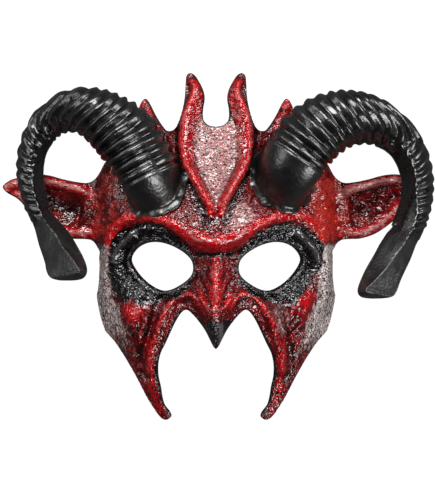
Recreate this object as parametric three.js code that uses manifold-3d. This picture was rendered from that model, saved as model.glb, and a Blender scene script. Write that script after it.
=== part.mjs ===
// A devil half mask: a thin moulded face shell with pointed ears and a crest of flames, and two ram horns.
// It lies face up. +X is the right of the picture, +Y is up the forehead, +Z is out of the face.
// It rests at z = 0 on the side walls' cut edges below the ears and on the backs of the ears' points.

import * as THREE from 'three';
import { mergeVertices } from 'three/addons/utils/BufferGeometryUtils.js';
import Module from 'manifold-3d';

// Driving dimensions, in millimetres and degrees

const WALL = 3; // thickness of the moulded shell, square to its plain surface under the carving
const SHELL_STEP = 4.75; // size of the facets of the shell
const GLUE_GAP = 0.4; // room left between a horn's foot and the forehead
const NODE_SNAP = 0.3; // share of a facet within which a grid point moves on to the cut edge
const GRID = { halfWidth: 33 * SHELL_STEP, low: -110.3, high: 110.2 };

// Height of the forehead, brow and muzzle along the midline, by y.
const DOME_HEIGHT = [
  [-112, 39], [-85, 45], [-60, 51], [-30, 55], [0, 59], [25, 61.5], [50, 57], [75, 49], [95, 43], [112, 39],
];
const DOME_FALL = 0.0062; // the dome drops by this times x squared
// How far the forehead falls away on each side, where a horn stands on it, and where that starts and ends.
const HORN_SEAT = { drop: 13, inner: [14, 32], outer: [65, 44], low: [12, 48], high: [102, 72] };

const RIDGE_HALF_WIDTH = 66; // cheekbone ridge to the midline, above the eyes' lower edge
const RIDGE_TAPER = 0.45; // how fast the ridges close in, further down
const RIDGE_TAPER_START = -32;
const WALL_BEND = 12; // arc over which the cheek turns into the side wall
const WALL_SLOPE = [[-112, 58], [-62, 62], [-46, 67], [-20, 79], [60, 81]]; // slope of the side wall by y
const TEMPLE_SLOPE = 64;
const TEMPLE_BEND = 9; // arc over which the forehead turns into the temple
const EAR_SLOPE = 15;
const EAR_ROOT = [11, 25]; // arc from the ridge to where the temple starts and ends turning into the ear
const EAR_BOTTOM = [4, -3]; // the ear gives way to the side wall between these heights
const CUT_HEIGHT = [[-80, 12], [-61, 9.5], [-46, 4], [-34, 0]]; // the side wall's cut edge rises at the jaw

const OUTLINE = [
  [0, 74], [4, 74.7], [7.4, 77.5], [8.4, 82], [8, 87.1], [7.2, 91.9], [7.8, 96.5], [11, 103.1],
  [13.5, 106.8], [16.2, 108.2], [18.4, 107], [19.2, 101], [19.6, 95], [21, 87.2], [24.1, 77.5],
  [27.2, 73], [31, 72.6], [35, 76], [39.3, 82], [43.6, 90], [45.8, 92.4], [47.8, 90], [50.5, 83],
  [56.4, 72.7], [62.7, 62.1], [70.6, 53.2], [76.5, 44], [81.5, 40.6], [88.6, 41], [98.6, 43.1],
  [106.6, 45.4], [115.8, 46.4], [127.3, 44.4], [134, 42.3], [138.2, 38.6], [136, 35.2], [127.3, 29.9],
  [119, 20.5], [109.3, 12.1], [100.7, 7], [91.4, 4.4], [82, 3.8], [77.6, 1.4], [76.6, -6], [80, -16],
  [84, -32], [80, -46], [70.5, -56], [64.8, -61.5], [58.6, -70], [53.6, -78], [49.4, -85.4], [43.8, -96],
  [39.9, -102], [36.2, -107], [33.6, -109], [31, -109.2], [28.8, -107.2], [29.6, -104.6], [33.1, -100.1],
  [34.5, -95.5], [35.6, -88.4], [37, -82], [37.1, -74.3], [35.5, -67.2], [32.6, -61.4], [28.8, -53.2],
  [25.1, -45.9], [21.4, -40.9], [18.4, -39.5], [15, -41.8], [10.3, -47], [6.5, -52.1], [3.6, -57.3],
  [1.4, -61], [0, -62.2],
];
const EYE = [
  [54.4, -8.2], [48.8, -0.6], [37.5, 2.3], [24.5, -1.5], [15.2, -9.4], [15, -17.5], [23.5, -25], [33, -28.2],
  [42.5, -24.2], [51.2, -15.6],
];

// Lines of the carving on the right half of the face, each with its height and its widths.
const BROW = [
  [0, 1.8], [8, 3], [16, 6], [25, 11.4], [34, 16.2], [44, 19], [53, 18.5], [61, 13.6], [66.5, 6], [68.5, -3],
];
const BROW_RIDGE = { middle: 7.5, end: 3.5, above: 8, below: 4.2 };
const SOCKET = { depth: 6.5, width: 9, fade: [22, -2] };
const EYE_BEAD = { height: 1.6, inset: 1.6, width: 1.8 };
const NOSE_HEIGHT = [[-64, 31], [-50, 23], [-35, 14], [-20, 7.5], [-7, 3.5], [4, 0]];
const NOSE_WIDTH = [[-64, 5.5], [-50, 7.5], [-35, 8], [-20, 6.5], [0, 6]];
const NOSE_ROUNDNESS = 1.7; // 2 is a round bridge, less is a sharper one
const LIP = [
  [5.5, -42.5], [8.5, -36], [12.2, -31.7], [17.1, -29.8], [23.3, -31.4], [28.8, -36.5], [33, -43.6],
  [36, -52], [38.4, -60], [40.6, -68], [41, -77],
];
const LIP_ROLL = { height: 3.6, width: 3, groove: 1.6, grooveOffset: 6, grooveWidth: 2.4 };
const FLAME = [
  [16, 105.5], [13.6, 100.7], [13, 95.6], [15.2, 88.8], [18.3, 81], [20.2, 71.6], [20.2, 60.2],
  [18.4, 51.4], [14, 42.7], [8.1, 32.3], [4.9, 26.8], [3.3, 20.7],
];
const FLAME_RIDGE = { height: 5.6, inner: 6, outer: 3, narrows: [0.45, 0.85] };
const SIDE_FLAME = [[45.6, 90.5], [42.5, 82], [38, 72], [36, 60]];
const SIDE_FLAME_RIDGE = { height: 3, width: 3, fade: 0.2 };
const EAR_RIM = [[80, 33], [88, 36.5], [98, 39], [107, 41.3], [116, 42.3], [127, 41], [135, 38.6]];
const EAR_RIM_RIDGE = { height: 4.5, width: 4, fade: 0.1 };
const EAR_FOLD = [[80, 9], [91, 8.4], [100, 11], [108, 16.5], [118, 26], [128, 34]];
const EAR_FOLD_RIDGE = { height: 3, width: 3.5, fade: 0.15 };
const EAR_HOLLOW = [[84, 22], [95, 24], [106, 28], [118, 34]];
const EAR_HOLLOW_TROUGH = { height: -6, width: 8, fade: 0.1 };
const CORNER_FOLD = [[64.5, 8], [66, 0], [64.5, -8]];
const CORNER_FOLD_RIDGE = { height: 3, width: 3, fade: 0.4 };
const CHEEK = { x: 50, y: -42, height: 5.5, width: 13, length: 15 };
const CHEEK_RIDGE = [[58, -36], [54, -46], [47.5, -62], [43.5, -75], [40, -88], [36, -99]];
const CHEEK_RIDGE_SIZE = { height: 2.2, width: 4.5, fade: 0.3 };

// Each horn's centre line: x, y, z, half its width. The first point is inside the forehead.
const LEFT_HORN = [
  [34, 29, 30, 19], [37.5, 36, 44, 19.8], [45, 49.5, 54.5, 22], [55, 64.5, 56, 22.6],
  [68.5, 76.5, 47, 20.2], [83.5, 83.5, 32.5, 17], [98.5, 82.5, 19.5, 14.2], [110, 74, 12.6, 12.2],
  [116.3, 60.5, 15, 10.6], [117, 44.5, 22.5, 9.8], [113, 28.5, 28.5, 9.1], [107, 14.5, 34, 8.8],
  [99.4, 1, 41, 11.2], [94.2, -9.3, 48, 12.7], [89.8, -19.4, 54, 12.8],
];
const RIGHT_HORN = [
  [40, 35, 30, 19.6], [43, 41, 44, 20.6], [49.5, 53, 54.5, 22.4], [58.5, 65, 56, 22.8],
  [73, 75, 47.5, 21.4], [90, 78.5, 32.5, 18.8], [107.5, 74.5, 18.5, 15.6], [120, 64, 13.3, 13],
  [126, 47.5, 21.5, 12], [126, 31.5, 28, 11.6], [121.5, 16.5, 32.5, 11.8], [115, 2.5, 37.5, 11.4],
  [108.5, -9.5, 43, 11.4], [102, -21, 49, 12], [97.2, -30.8, 54, 12.3],
];
const CURL_CENTRE = { left_horn: [87, 40, 30], right_horn: [97, 32, 30] };
const HORN_SIDES = 14;
const HORN_CUFF = 0.14; // share of the horn, from its foot, that is smooth
const HORN_BLADE = 0.8; // the ridges end here, and the smooth flat point starts
const CUFF_RINGS = [0, 0.04, 0.08, 0.12]; // rings below the first ridge, as shares of the whole horn
const HORN_RIDGES = 20;
const RIDGE_SPREAD = 0.22; // how much further apart the ridges are near the foot than near the point
const BLADE_RINGS = [0.82, 0.85, 0.885, 0.92, 0.95, 0.97, 0.985, 0.995, 1];
const RIDGE_DEPTH = 0.075; // depth of a groove, as a share of the half width
const RIDGE_SLANT = [[0, 0.5], [0.25, 2.5], [0.45, 8], [0.65, 7], [0.8, 3], [1, 0]];
const HORN_FLAT = 0.16; // how much the inner face of a horn is flattened
const BLADE_THICKNESS = 0.62; // of the smooth point, as a share of its width
const TIP_START = 0.96; // where the point starts to round off
const TIP_WIDTH = 0.66; // of the last ring, as a share of the width before it rounds off
const TIP_SKEW = 4; // how much further the inner corner of the cut end reaches than its middle
// The patch of forehead that the horns' feet are cut to, and how far below it the cut reaches.
const SEAT_PATCH = { halfWidth: 62, low: -1, high: 68, floor: -20 };

const RED_VARNISH = { color: 0xb3161a, roughness: 0.38, metalness: 0 };
const BLACK_GLOSS = { color: 0x1c1c1d, roughness: 0.3, metalness: 0 };

// Small helpers

const radians = (degrees) => (degrees * Math.PI) / 180;
const mix = (a, b, t) => a + (b - a) * t;
const clamp01 = (t) => Math.min(1, Math.max(0, t));
const smooth = (from, to, x) => {
  const t = clamp01((x - from) / (to - from));
  return t * t * (3 - 2 * t);
};
const bell = (d, width) => Math.exp(-((d / width) ** 2));

// A smooth function through a few [x, value] pairs: cubic pieces, flat beyond the ends.
function through(pairs) {
  const slope = (i) => {
    const a = pairs[Math.max(0, i - 1)];
    const b = pairs[Math.min(pairs.length - 1, i + 1)];
    return (b[1] - a[1]) / (b[0] - a[0]);
  };
  return (x) => {
    const last = pairs.length - 1;
    if (x <= pairs[0][0]) return pairs[0][1];
    if (x >= pairs[last][0]) return pairs[last][1];
    let i = 0;
    while (x > pairs[i + 1][0]) i += 1;
    const [x0, y0] = pairs[i];
    const [x1, y1] = pairs[i + 1];
    const width = x1 - x0;
    const t = (x - x0) / width;
    const t2 = t * t;
    const t3 = t2 * t;
    return (2 * t3 - 3 * t2 + 1) * y0 + (t3 - 2 * t2 + t) * width * slope(i)
      + (3 * t2 - 2 * t3) * y1 + (t3 - t2) * width * slope(i + 1);
  };
}

// Short straight pieces along a smooth curve through the points.
function spline(points, closed, perSpan) {
  const knots = points.map(([x, y]) => new THREE.Vector3(x, y, 0));
  const curve = new THREE.CatmullRomCurve3(knots, closed, 'centripetal');
  const spans = closed ? points.length : points.length - 1;
  const line = curve.getPoints(spans * perSpan).map((p) => [p.x, p.y]);
  return line;
}

// The nearest point of a line: its distance, its side (+1 is left of the line) and the share of the way.
function nearest(line, x, y) {
  let best = { distance: Infinity, side: 1, along: 0 };
  const spans = line.length - 1;
  for (let i = 0; i < spans; i += 1) {
    const [ax, ay] = line[i];
    const dx = line[i + 1][0] - ax;
    const dy = line[i + 1][1] - ay;
    const t = clamp01(((x - ax) * dx + (y - ay) * dy) / (dx * dx + dy * dy || 1));
    const distance = Math.hypot(x - ax - t * dx, y - ay - t * dy);
    if (distance < best.distance) {
      const side = dx * (y - ay) - dy * (x - ax) >= 0 ? 1 : -1;
      best = { distance, side, along: (i + t) / spans };
    }
  }
  return best;
}

// Distance to a closed line, positive inside it.
function depthInside(line, x, y) {
  let inside = false;
  for (let i = 0, j = line.length - 1; i < line.length; j = i, i += 1) {
    const [xi, yi] = line[i];
    const [xj, yj] = line[j];
    if (yi > y !== yj > y && x < ((xj - xi) * (y - yi)) / (yj - yi) + xi) inside = !inside;
  }
  const { distance } = nearest([...line, line[0]], x, y);
  return inside ? distance : -distance;
}

// Curves of the shell

const domeHeight = through(DOME_HEIGHT);
const wallSlope = through(WALL_SLOPE);
const noseHeight = through(NOSE_HEIGHT);
const noseWidth = through(NOSE_WIDTH);
const halfOutline = spline(OUTLINE, false, 4);
const outline = [...halfOutline, ...halfOutline.slice(1, -1).reverse().map(([x, y]) => [-x, y])];
const eye = spline(EYE, true, 5);
const carved = (points) => spline(points, false, 3);
const [brow, lip, flame, sideFlame] = [BROW, LIP, FLAME, SIDE_FLAME].map(carved);
const [earRim, earFold, earHollow] = [EAR_RIM, EAR_FOLD, EAR_HOLLOW].map(carved);
const [cornerFold, cheekRidge] = [CORNER_FOLD, CHEEK_RIDGE].map(carved);

// A rounded ridge along a line, that fades in and out at its ends.
function ridge(line, { height, width, fade }, x, y) {
  const { distance, along } = nearest(line, x, y);
  const ends = smooth(-0.02, fade, along) * smooth(-0.02, fade, 1 - along);
  return height * ends * bell(distance, width);
}

// Carving of the right half of the face, added to the dome: heights above it, in millimetres.
function relief(x, y) {
  const fromEye = -depthInside(eye, x, y);
  const socket = -SOCKET.depth * bell(Math.max(0, fromEye), SOCKET.width) * smooth(...SOCKET.fade, y);
  const eyeBead = EYE_BEAD.height * bell(fromEye - EYE_BEAD.inset, EYE_BEAD.width);
  const browAt = nearest(brow, x, y);
  const browHeight = mix(BROW_RIDGE.middle, BROW_RIDGE.end, smooth(0, 0.8, browAt.along));
  const browWidth = browAt.side > 0 ? BROW_RIDGE.above : BROW_RIDGE.below;
  const nose = noseHeight(y) * Math.exp(-((x / noseWidth(y)) ** NOSE_ROUNDNESS));
  const lipAt = nearest(lip, x, y);
  const groove = lipAt.side > 0 ? bell(lipAt.distance - LIP_ROLL.grooveOffset, LIP_ROLL.grooveWidth) : 0;
  const lipRoll = LIP_ROLL.height * bell(lipAt.distance, LIP_ROLL.width) - LIP_ROLL.groove * groove;
  const flameAt = nearest(flame, x, y);
  const flameEnds = smooth(-0.03, 0.2, flameAt.along) * smooth(-0.03, 0.25, 1 - flameAt.along);
  const innerWidth = mix(FLAME_RIDGE.inner, FLAME_RIDGE.outer, smooth(...FLAME_RIDGE.narrows, flameAt.along));
  const flameWidth = flameAt.side > 0 ? FLAME_RIDGE.outer : innerWidth;
  const cheek = CHEEK.height * bell(x - CHEEK.x, CHEEK.width) * bell(y - CHEEK.y, CHEEK.length);
  return socket + eyeBead + nose + cheek
    + browHeight * bell(browAt.distance, browWidth)
    + smooth(-0.05, 0.12, lipAt.along) * lipRoll
    + FLAME_RIDGE.height * flameEnds * bell(flameAt.distance, flameWidth)
    + ridge(sideFlame, SIDE_FLAME_RIDGE, x, y)
    + ridge(cheekRidge, CHEEK_RIDGE_SIZE, x, y)
    + ridge(cornerFold, CORNER_FOLD_RIDGE, x, y)
    + ridge(earRim, EAR_RIM_RIDGE, x, y)
    + ridge(earFold, EAR_FOLD_RIDGE, x, y)
    + ridge(earHollow, EAR_HOLLOW_TROUGH, x, y);
}

// How far the cheekbone ridge is from the midline, and how much of the side wall there is, by height.
const ridgeAt = (y) => RIDGE_HALF_WIDTH - RIDGE_TAPER * Math.max(0, RIDGE_TAPER_START - y);
const wallAt = (y) => smooth(...EAR_BOTTOM, y);
const cutHeight = through(CUT_HEIGHT);

function dome(x, y) {
  const acrossSeat = smooth(...HORN_SEAT.inner, x) * smooth(...HORN_SEAT.outer, x);
  const alongSeat = smooth(...HORN_SEAT.low, y) * smooth(...HORN_SEAT.high, y);
  return domeHeight(y) - DOME_FALL * x * x - HORN_SEAT.drop * acrossSeat * alongSeat;
}

// The plain shell at u, v: v is the height y, and u is x up to the cheekbone ridge and the way down the side
// from there on, so that the side wall, which faces away from the midline, still has facets of full size.
function bareShell(u, v) {
  const across = Math.abs(u);
  const start = ridgeAt(v);
  if (across <= start) return [u, v, dome(across, v)];
  const first = Math.atan(2 * DOME_FALL * start);
  const steps = 24;
  const step = (across - start) / steps;
  let x = start;
  let z = dome(start, v);
  for (let i = 0; i < steps; i += 1) {
    const way = (i + 0.5) * step;
    const toWall = mix(first, radians(wallSlope(v)), smooth(0, WALL_BEND, way));
    const toTemple = mix(first, radians(TEMPLE_SLOPE), smooth(0, TEMPLE_BEND, way));
    const toEar = mix(toTemple, radians(EAR_SLOPE), smooth(...EAR_ROOT, way));
    const slope = mix(toEar, toWall, wallAt(v));
    x += Math.cos(slope) * step;
    z -= Math.sin(slope) * step;
  }
  return [Math.sign(u) * x, v, z];
}

function shellNormal(u, v) {
  const h = 0.5;
  const [a, b, c, d] = [bareShell(u + h, v), bareShell(u - h, v), bareShell(u, v + h), bareShell(u, v - h)];
  const across = new THREE.Vector3(a[0] - b[0], a[1] - b[1], a[2] - b[2]);
  const up = new THREE.Vector3(c[0] - d[0], c[1] - d[1], c[2] - d[2]);
  return across.cross(up).normalize();
}

function shellFront(u, v) {
  const [x, y, z] = bareShell(u, v);
  const past = Math.abs(u) - ridgeAt(v);
  const share = 1 - wallAt(v) * smooth(0, WALL_BEND, past);
  return new THREE.Vector3(x, y, z + share * relief(Math.abs(x), y));
}

function shellBack(u, v) {
  const back = shellFront(u, v).addScaledVector(shellNormal(u, v), -WALL);
  back.z = Math.max(back.z, 0);
  return back;
}

// Positive on the shell, zero on its cut edges, negative beyond them.
function onShell(u, v) {
  const [x, y, z] = bareShell(u, v);
  return Math.min(depthInside(outline, x, y), -depthInside(eye, Math.abs(x), y), z - cutHeight(y));
}

// A grid over u, v is trimmed to where onShell is positive: near grid points move on to the edge, and
// triangles that still cross it are cut there. The same triangles make the front and the back.
function trimmedGrid({ halfWidth, low, high }, step) {
  const columns = Math.round((2 * halfWidth) / step);
  const rows = Math.round((high - low) / step);
  const nodes = [];
  for (let j = 0; j <= rows; j += 1) {
    for (let i = 0; i <= columns; i += 1) {
      let u = mix(-halfWidth, halfWidth, i / columns);
      let v = mix(low, high, j / rows);
      let value = onShell(u, v);
      const h = 0.2;
      for (let turn = 0; turn < 2 && Math.abs(value) < NODE_SNAP * step; turn += 1) {
        const gu = (onShell(u + h, v) - onShell(u - h, v)) / (2 * h);
        const gv = (onShell(u, v + h) - onShell(u, v - h)) / (2 * h);
        const size = gu * gu + gv * gv || 1;
        const shift = Math.hypot(gu, gv) > 0.3 ? value / size : 0;
        if (Math.abs(shift * Math.sqrt(size)) > 1.2 * NODE_SNAP * step) break;
        u -= shift * gu;
        v -= shift * gv;
        value = turn === 1 ? 0 : onShell(u, v);
      }
      nodes.push({ u, v, value: Math.abs(value) < 1e-3 ? 0 : value });
    }
  }
  const cuts = new Map();
  const cut = (a, b) => {
    const key = a < b ? `${a}:${b}` : `${b}:${a}`;
    if (!cuts.has(key)) {
      let [inside, outside] = nodes[a].value > 0 ? [nodes[a], nodes[b]] : [nodes[b], nodes[a]];
      for (let turn = 0; turn < 12; turn += 1) {
        const middle = { u: (inside.u + outside.u) / 2, v: (inside.v + outside.v) / 2 };
        if (onShell(middle.u, middle.v) > 0) inside = middle;
        else outside = middle;
      }
      nodes.push({ u: inside.u, v: inside.v, value: 0 });
      cuts.set(key, nodes.length - 1);
    }
    return cuts.get(key);
  };
  const triangles = [];
  const clip = (corners) => {
    if (!corners.some((n) => nodes[n].value > 0)) return;
    const ring = [];
    corners.forEach((n, k) => {
      const next = corners[(k + 1) % 3];
      if (nodes[n].value >= 0) ring.push(n);
      if (nodes[n].value * nodes[next].value < 0) ring.push(cut(n, next));
    });
    for (let k = 2; k < ring.length; k += 1) triangles.push([ring[0], ring[k - 1], ring[k]]);
  };
  for (let j = 0; j < rows; j += 1) {
    for (let i = 0; i < columns; i += 1) {
      const a = j * (columns + 1) + i;
      const [b, c, d] = [a + 1, a + columns + 2, a + columns + 1];
      const leans = (i < columns / 2) === (j < rows / 2);
      if (leans) {
        clip([a, b, c]);
        clip([a, c, d]);
      } else {
        clip([a, b, d]);
        clip([b, c, d]);
      }
    }
  }
  return { nodes, triangles };
}

function geometryOf(positions, triangles) {
  const geometry = new THREE.BufferGeometry();
  const numbers = positions.flatMap((p) => [p.x, p.y, p.z]);
  geometry.setAttribute('position', new THREE.Float32BufferAttribute(numbers, 3));
  geometry.setIndex(triangles.flat());
  geometry.computeVertexNormals();
  return geometry;
}

// A closed body between two sheets that share the grid's triangles, of those triangles that are kept.
function body(grid, keep, top, bottom) {
  const { nodes } = grid;
  const kept = grid.triangles.filter((corners) => corners.every((n) => keep(nodes[n].u, nodes[n].v)));
  const used = [...new Set(kept.flat())];
  const place = new Map(used.map((n, k) => [n, k]));
  const front = kept.map((corners) => corners.map((n) => place.get(n)));
  const back = front.map(([a, b, c]) => [a + used.length, c + used.length, b + used.length]);
  const edges = new Map();
  front.forEach(([a, b, c]) => [[a, b], [b, c], [c, a]].forEach(([p, q]) => edges.set(`${p}:${q}`, [p, q])));
  const walls = [];
  edges.forEach(([p, q]) => {
    if (edges.has(`${q}:${p}`)) return;
    walls.push([q, p, p + used.length], [q, p + used.length, q + used.length]);
  });
  const positions = [top, bottom].flatMap((sheet) => used.map((n) => sheet(nodes[n].u, nodes[n].v)));
  return geometryOf(positions, [...front, ...back, ...walls]);
}

// A horn is a rounded section carried along its centre line. Its rings lean, so that each ridge is nearer to
// the foot on the outside of the curl. A side of -1 mirrors the horn to the left.
function horn(points, centre, side) {
  const knots = points.map(([x, y, z]) => new THREE.Vector3(x, y, z));
  const line = new THREE.CatmullRomCurve3(knots, false, 'centripetal');
  const length = line.getLength();
  const halfWidth = through(points.map((p, k) => [k / (points.length - 1), p[3]]));
  const slant = through(RIDGE_SLANT);
  const curl = new THREE.Vector3(...centre);
  const at = (share, angle, depth) => {
    const lean = -slant(share) * Math.cos(angle) / length;
    const way = clamp01(share + lean);
    const t = line.getUtoTmapping(way);
    const middle = line.getPoint(t);
    const tangent = line.getTangent(t);
    const outward = middle.clone().sub(curl);
    outward.addScaledVector(tangent, -outward.dot(tangent)).normalize();
    const towards = tangent.clone().cross(outward);
    const blade = smooth(HORN_BLADE, 0.93, share);
    const end = Math.sqrt(1 - clamp01((share - TIP_START) / (1 - TIP_START)) ** 3);
    const inner = 1 - HORN_FLAT * smooth(-0.2, -0.9, Math.cos(angle));
    const radius = halfWidth(t) * (1 - depth) * inner * mix(TIP_WIDTH, 1, end);
    const thin = mix(1, BLADE_THICKNESS, blade);
    const skew = TIP_SKEW * smooth(0.88, 1, share) * Math.cos(angle);
    return middle.addScaledVector(outward, radius * Math.cos(angle))
      .addScaledVector(towards, radius * thin * Math.sin(angle))
      .addScaledVector(tangent, -skew);
  };
  const angles = Array.from({ length: HORN_SIDES }, (_, k) => (2 * Math.PI * k) / HORN_SIDES);
  const ridges = Array.from({ length: 2 * HORN_RIDGES + 1 }, (_, k) => {
    const even = k / (2 * HORN_RIDGES);
    const spread = even * (1 + RIDGE_SPREAD * (1 - even));
    return [mix(HORN_CUFF, HORN_BLADE, spread), k % 2 ? 0 : RIDGE_DEPTH];
  });
  const plain = (share) => [share, 0];
  const rings = [...CUFF_RINGS.map(plain), ...ridges, ...BLADE_RINGS.map(plain)];
  const positions = rings.flatMap(([share, depth]) => (
    angles.map((angle) => at(share, angle, depth * smooth(-0.75, -0.4, Math.cos(angle))))));
  const triangles = [];
  const point = (ring, k) => ring * HORN_SIDES + (k % HORN_SIDES);
  for (let ring = 0; ring < rings.length - 1; ring += 1) {
    for (let k = 0; k < HORN_SIDES; k += 1) {
      const [a, b, c, d] = [point(ring, k), point(ring, k + 1), point(ring + 1, k + 1), point(ring + 1, k)];
      triangles.push([a, b, c], [a, c, d]);
    }
  }
  const middle = (ring) => {
    const points = positions.slice(ring * HORN_SIDES, (ring + 1) * HORN_SIDES);
    return points.reduce((sum, p) => sum.add(p), new THREE.Vector3()).divideScalar(HORN_SIDES);
  };
  const last = rings.length - 1;
  positions.push(middle(0), middle(last));
  const [foot, tip] = [positions.length - 2, positions.length - 1];
  for (let k = 0; k < HORN_SIDES; k += 1) {
    triangles.push([foot, point(0, k + 1), point(0, k)], [tip, point(last, k), point(last, k + 1)]);
  }
  if (side > 0) return geometryOf(positions, triangles);
  return geometryOf(positions.map((p) => p.setX(-p.x)), triangles.map(([a, b, c]) => [a, c, b]));
}

// Boolean cut

const wasm = await Module();
wasm.setup();

function solidOf(geometry) {
  const bare = geometry.clone();
  bare.deleteAttribute('normal');
  const merged = mergeVertices(bare, 1e-4);
  return new wasm.Manifold(new wasm.Mesh({
    numProp: 3,
    vertProperties: new Float32Array(merged.attributes.position.array),
    triVerts: new Uint32Array(merged.index.array),
  }));
}

function minus(geometry, cutter) {
  const mesh = solidOf(geometry).subtract(solidOf(cutter)).getMesh();
  const cut = new THREE.BufferGeometry();
  cut.setAttribute('position', new THREE.BufferAttribute(new Float32Array(mesh.vertProperties), 3));
  cut.setIndex(Array.from(mesh.triVerts));
  cut.computeVertexNormals();
  return cut;
}

// The mask

const grid = trimmedGrid(GRID, SHELL_STEP);
const shell = body(grid, () => true, shellFront, shellBack);
// All that is under the forehead's surface, and the room left for glue above it.
const forehead = body(
  grid,
  (u, v) => Math.abs(u) < SEAT_PATCH.halfWidth && v > SEAT_PATCH.low && v < SEAT_PATCH.high,
  (u, v) => shellFront(u, v).add(new THREE.Vector3(0, 0, GLUE_GAP)),
  (u, v) => new THREE.Vector3(u, v, SEAT_PATCH.floor),
);

const mask = new THREE.Group();
function add(name, geometry, finish) {
  const mesh = new THREE.Mesh(geometry, new THREE.MeshStandardMaterial(finish));
  mesh.name = name;
  mask.add(mesh);
}

add('mask_shell', shell, RED_VARNISH);
add('left_horn', minus(horn(LEFT_HORN, CURL_CENTRE.left_horn, -1), forehead), BLACK_GLOSS);
add('right_horn', minus(horn(RIGHT_HORN, CURL_CENTRE.right_horn, 1), forehead), BLACK_GLOSS);

export default mask;
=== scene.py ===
"""A devil half mask that lies face up on a pale table, seen from straight above.

Blender's own unit here is the metre. The mask's shapes are worked out in millimetres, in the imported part's
frame: +X is the right of the picture, +Y is up the forehead and +Z is out of the face.
"""

import bpy
import numpy as np
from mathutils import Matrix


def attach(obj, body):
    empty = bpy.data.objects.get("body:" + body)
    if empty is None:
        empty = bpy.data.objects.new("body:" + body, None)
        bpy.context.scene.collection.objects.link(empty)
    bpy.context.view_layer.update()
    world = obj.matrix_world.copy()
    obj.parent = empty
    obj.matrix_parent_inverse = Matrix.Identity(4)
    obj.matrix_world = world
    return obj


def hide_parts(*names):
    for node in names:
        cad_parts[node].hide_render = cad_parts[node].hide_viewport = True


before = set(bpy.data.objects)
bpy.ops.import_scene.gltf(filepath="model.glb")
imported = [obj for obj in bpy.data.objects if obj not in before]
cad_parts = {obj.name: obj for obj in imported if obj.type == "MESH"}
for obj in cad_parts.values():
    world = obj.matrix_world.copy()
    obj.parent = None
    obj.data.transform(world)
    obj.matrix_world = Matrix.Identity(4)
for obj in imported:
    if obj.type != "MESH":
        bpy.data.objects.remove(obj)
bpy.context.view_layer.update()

# The face shell
#
# One hollow skin of soft plastic, cast in a mould and cut to its outline, with the flame crest, the ears, the
# rolled lip and the two cheek points cast in one. It is painted red and black by hand and then varnished.

MM = 0.001
# WALL is square to the plain surface under the carving. SHELL_STEP is the size of the triangles, and grid
# points nearer to the cut edge than NODE_SNAP times that move on to it. The last three are the grid's ends.
WALL = 3.0
SHELL_STEP = 0.9
NODE_SNAP = 0.3
HALF_SPAN, LOW_EDGE, HIGH_EDGE = 156.75, -110.3, 110.2

# The plain shell in mm and degrees. The lists are (y, value) pairs, and EAR_ROOT and EAR_BOTTOM say where a
# change of slope starts and ends.
DOME_HEIGHT = [
    (-112, 39), (-85, 45), (-60, 51), (-30, 55), (0, 59), (25, 61.5), (50, 57), (75, 49), (95, 43), (112, 39),
]
DOME_FALL = 0.0062
SEAT_DROP = 13
RIDGE_HALF_WIDTH, RIDGE_TAPER, RIDGE_TAPER_START = 66, 0.45, -32
WALL_BEND = 12
SLOPE_PIECES = 24
WALL_SLOPE = [(-112, 58), (-62, 62), (-46, 67), (-20, 79), (60, 81)]
TEMPLE_SLOPE, TEMPLE_BEND = 64, 9
EAR_SLOPE, EAR_ROOT, EAR_BOTTOM = 15, (11, 25), (4, -3)
CUT_HEIGHT = [(-80, 12), (-61, 9.5), (-46, 4), (-34, 0)]

# The right half of the outer edge, from the forehead's top round to the nose's tip, and the right eye hole.
OUTLINE = [
    (0, 74), (4, 74.7), (7.4, 77.5), (8.4, 82), (8, 87.1), (7.2, 91.9), (7.8, 96.5), (11, 103.1),
    (13.5, 106.8), (16.2, 108.2), (18.4, 107), (19.2, 101), (19.6, 95), (21, 87.2), (24.1, 77.5), (27.2, 73),
    (31, 72.6), (35, 76), (39.3, 82), (43.6, 90), (45.8, 92.4), (47.8, 90), (50.5, 83), (56.4, 72.7),
    (62.7, 62.1), (70.6, 53.2), (76.5, 44), (81.5, 40.6), (88.6, 41), (98.6, 43.1), (106.6, 45.4),
    (115.8, 46.4), (127.3, 44.4), (134, 42.3), (138.2, 38.6), (136, 35.2), (127.3, 29.9), (119, 20.5),
    (109.3, 12.1), (100.7, 7), (91.4, 4.4), (82, 3.8), (77.6, 1.4), (76.6, -6), (80, -16), (84, -32),
    (80, -46), (70.5, -56), (64.8, -61.5), (58.6, -70), (53.6, -78), (49.4, -85.4), (43.8, -96), (39.9, -102),
    (36.2, -107), (33.6, -109), (31, -109.2), (28.8, -107.2), (29.6, -104.6), (33.1, -100.1), (34.5, -95.5),
    (35.6, -88.4), (37, -82), (37.1, -74.3), (35.5, -67.2), (32.6, -61.4), (28.8, -53.2), (25.1, -45.9),
    (21.4, -40.9), (18.4, -39.5), (15, -41.8), (10.3, -47), (6.5, -52.1), (3.6, -57.3), (1.4, -61),
    (0, -62.2),
]
EYE = [
    (54.4, -8.2), (48.8, -0.6), (37.5, 2.3), (24.5, -1.5), (15.2, -9.4), (15, -17.5), (23.5, -25),
    (33, -28.2), (42.5, -24.2), (51.2, -15.6),
]


def smooth(low, high, x):
    """Eases from 0 at low to 1 at high: 3t^2 - 2t^3, where t is the share of the way between them."""
    t = np.clip((x - low) / (high - low), 0, 1)
    return t * t * (3 - 2 * t)


def mix(a, b, t):
    """a at t = 0 and b at t = 1, in a straight line between them."""
    return a + (b - a) * t


def bell(distance, width):
    """1 at no distance, falling as exp(-(distance / width)^2)."""
    return np.exp(-((distance / width) ** 2))


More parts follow.
